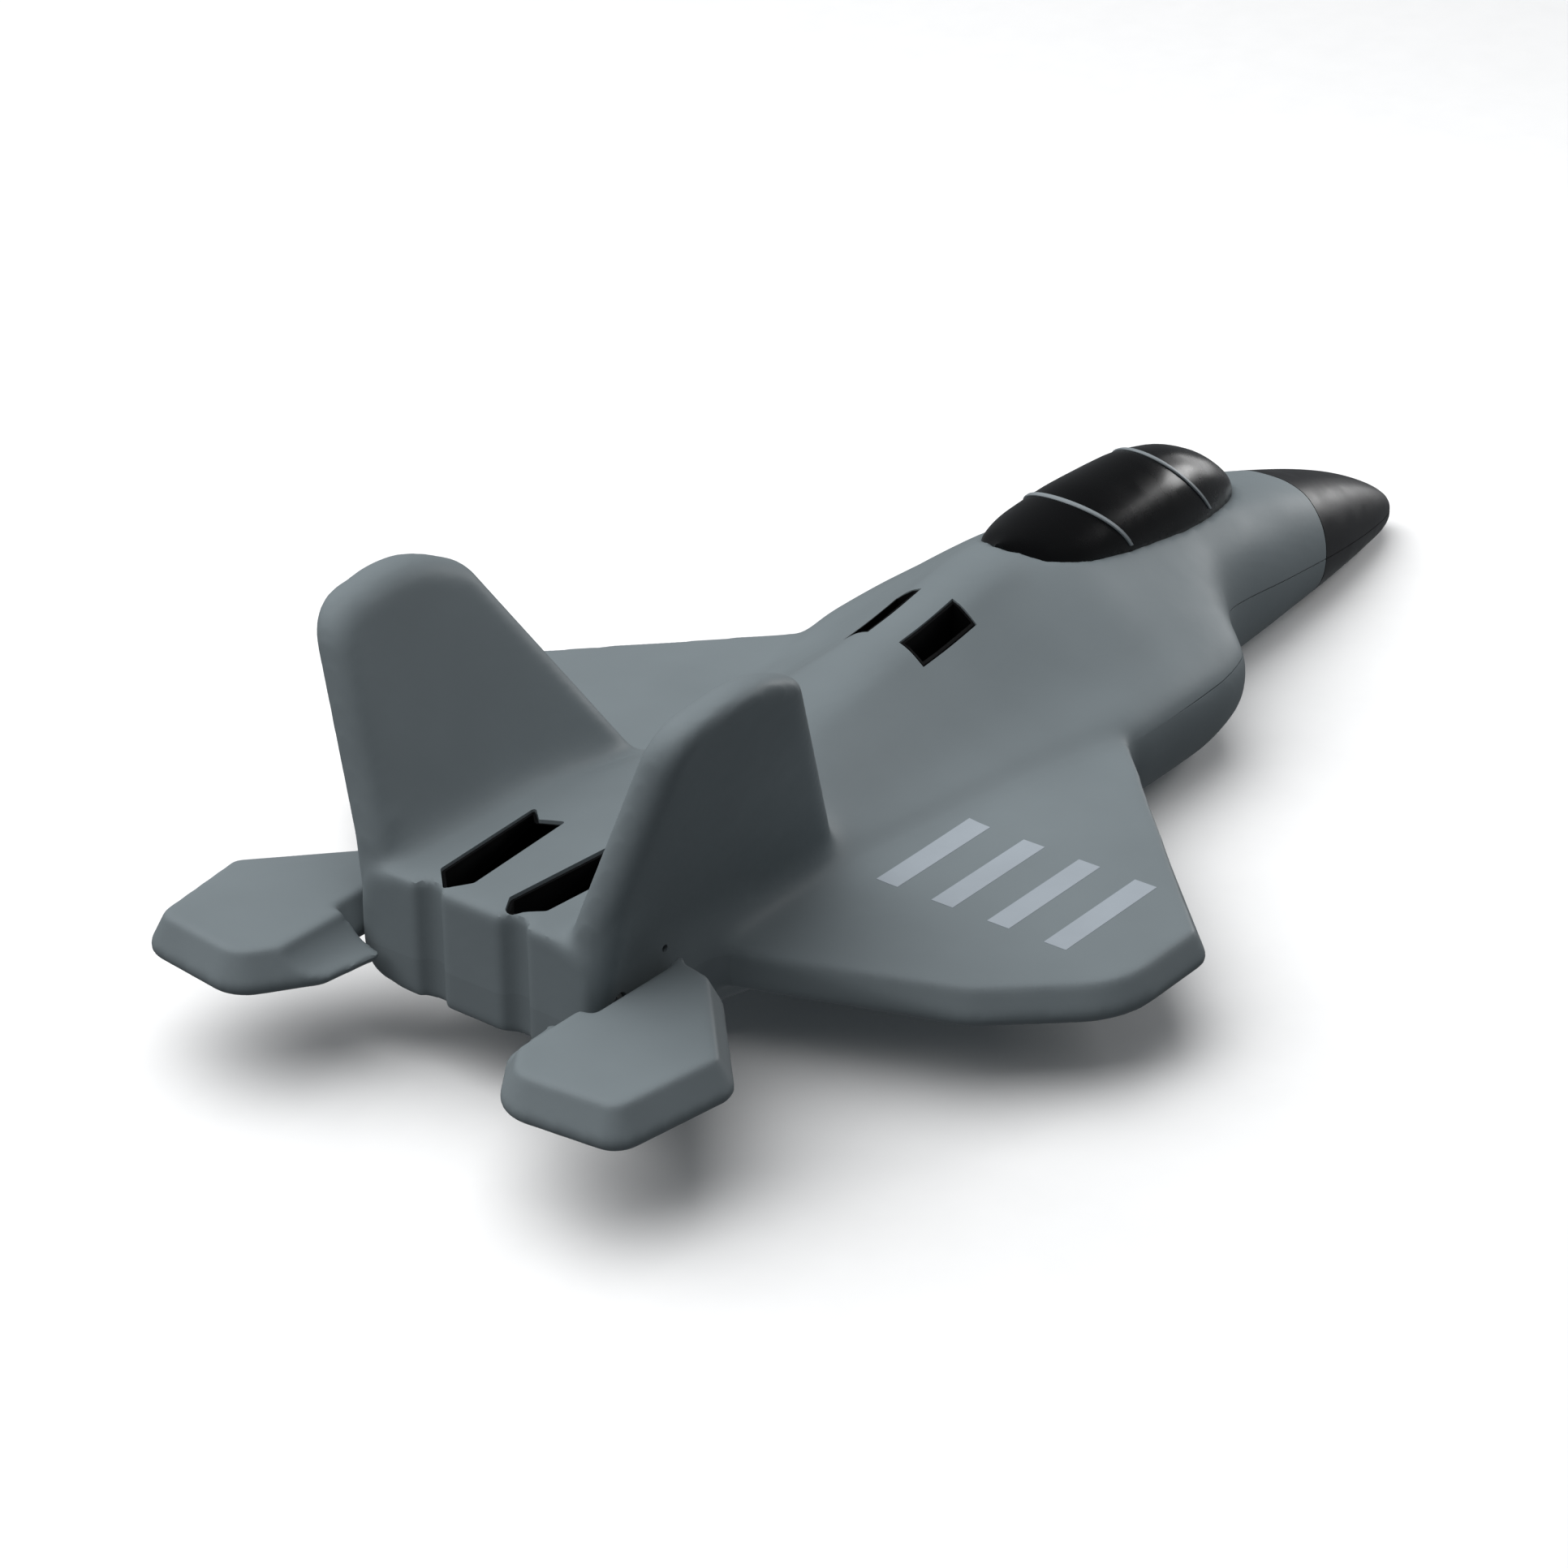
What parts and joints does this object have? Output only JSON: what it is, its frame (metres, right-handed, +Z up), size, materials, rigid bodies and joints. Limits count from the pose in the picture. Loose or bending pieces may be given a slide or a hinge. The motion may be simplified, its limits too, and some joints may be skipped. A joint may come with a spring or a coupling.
{
  "type": "rc jet plane",
  "caption": "Small moulded-foam radio-controlled jet with swept wings, canted twin fins, all-moving stabilators, a lift-off gloss canopy, fans inside and slots in its tail deck.",
  "frame": {"origin": "under the middle of the aircraft's length and span, at the height of its flat belly", "axes": "+X towards the nose, +Y towards the port wing tip, +Z up, away from the belly"},
  "size_m": [0.3497, 0.194, 0.0867],
  "materials": {
    "foam": "smooth matt moulded foam",
    "foam_belly": "smooth matt moulded foam",
    "cone_black": "satin",
    "carbon": "pultruded carbon tube, satin",
    "steel": "drawn wire",
    "white_nylon": "matt moulded nylon",
    "black_plastic": "matt moulded",
    "plywood": "thin birch plywood",
    "motor_alloy": "turned",
    "canopy_gloss": "polished",
    "frame_grey": "satin paint",
    "battery_wrap": "shrink wrap",
    "strap_fabric": "woven hook-and-loop strap",
    "tape_white": "foam tape",
    "board_green": "solder mask"
  },
  "bodies": {
    "airframe": {"fuselage_upper_shell": "foam", "fuselage_lower_shell": "foam_belly", "nose_cone": "cone_black", "wing_left": "foam", "wing_right": "foam", "wing_spar": "carbon", "fin_left": "foam", "fin_right": "foam", "pivot_bush_left": "white_nylon", "pivot_bush_right": "white_nylon", "servo_left": "black_plastic", "servo_right": "black_plastic", "servo_tray": "plywood", "fan_shroud_left": "black_plastic", "fan_shroud_right": "black_plastic", "fan_motor_left": "motor_alloy", "fan_motor_right": "motor_alloy", "fan_bulkhead": "plywood", "inlet_liner_left": "black_plastic", "inlet_liner_right": "black_plastic", "exhaust_liner_left": "black_plastic", "exhaust_liner_right": "black_plastic", "canopy_magnet": "steel", "battery_tray": "plywood", "battery": "battery_wrap", "battery_strap": "strap_fabric", "receiver_tape": "tape_white", "receiver_board": "board_green", "nose_ballast": "steel", "power_switch": "black_plastic"},
    "switch_slider": {"switch_slider": "white_nylon"},
    "canopy": {"canopy": "canopy_gloss", "canopy_frame_rear": "frame_grey", "canopy_frame_front": "frame_grey", "canopy_keeper": "steel"},
    "stabilator_left": {"stabilator_left": "foam", "pivot_rod_left": "steel", "control_horn_left": "white_nylon"},
    "servo_arm_left": {"servo_arm_left": "white_nylon"},
    "pushrod_left": {"pushrod_left": "steel"},
    "fan_rotor_left": {"fan_rotor_left": "black_plastic"},
    "stabilator_right": {"stabilator_right": "foam", "pivot_rod_right": "steel", "control_horn_right": "white_nylon"},
    "servo_arm_right": {"servo_arm_right": "white_nylon"},
    "pushrod_right": {"pushrod_right": "steel"},
    "fan_rotor_right": {"fan_rotor_right": "black_plastic"}
  },
  "joints": [
    {"name": "stabilator_left_tilt", "type": "hinge", "parent": "airframe", "child": "stabilator_left", "pos_m": [-0.137, 0.039, 0.025], "axis": [0, 1, 0], "range_deg": [-15, 15]},
    {"name": "servo_arm_left_swing", "type": "hinge", "parent": "airframe", "child": "servo_arm_left", "pos_m": [-0.052, 0.0209, 0.025], "axis": [0, 1, 0], "range_deg": [-15, 15]},
    {"name": "pushrod_left_joggle", "type": "hinge", "parent": "servo_arm_left", "child": "pushrod_left", "pos_m": [-0.052, 0.0224, 0.017], "axis": [0, 1, 0], "range_deg": [-15, 15]},
    {"name": "fan_left_spin", "type": "hinge", "parent": "airframe", "child": "fan_rotor_left", "pos_m": [-0.071, 0.0106, 0.0235], "axis": [1, 0, 0], "continuous": true},
    {"name": "stabilator_right_tilt", "type": "hinge", "parent": "airframe", "child": "stabilator_right", "pos_m": [-0.137, -0.039, 0.025], "axis": [0, 1, 0], "range_deg": [-15, 15]},
    {"name": "servo_arm_right_swing", "type": "hinge", "parent": "airframe", "child": "servo_arm_right", "pos_m": [-0.052, -0.0209, 0.025], "axis": [0, 1, 0], "range_deg": [-15, 15]},
    {"name": "pushrod_right_joggle", "type": "hinge", "parent": "servo_arm_right", "child": "pushrod_right", "pos_m": [-0.052, -0.0224, 0.017], "axis": [0, 1, 0], "range_deg": [-15, 15]},
    {"name": "fan_right_spin", "type": "hinge", "parent": "airframe", "child": "fan_rotor_right", "pos_m": [-0.071, -0.0106, 0.0235], "axis": [1, 0, 0], "continuous": true},
    {"name": "canopy_lift", "type": "slide", "parent": "airframe", "child": "canopy", "axis": [0, 0, 1], "range_m": [0, 0.03]},
    {"name": "switch_travel", "type": "slide", "parent": "airframe", "child": "switch_slider", "axis": [1, 0, 0], "range_m": [0, 0.0028]}
  ],
  "couplings": [
    {"joint": "servo_arm_left_swing", "follows": "stabilator_left_tilt", "ratio": 1},
    {"joint": "pushrod_left_joggle", "follows": "stabilator_left_tilt", "ratio": -1},
    {"joint": "servo_arm_right_swing", "follows": "stabilator_right_tilt", "ratio": 1},
    {"joint": "pushrod_right_joggle", "follows": "stabilator_right_tilt", "ratio": -1}
  ]
}
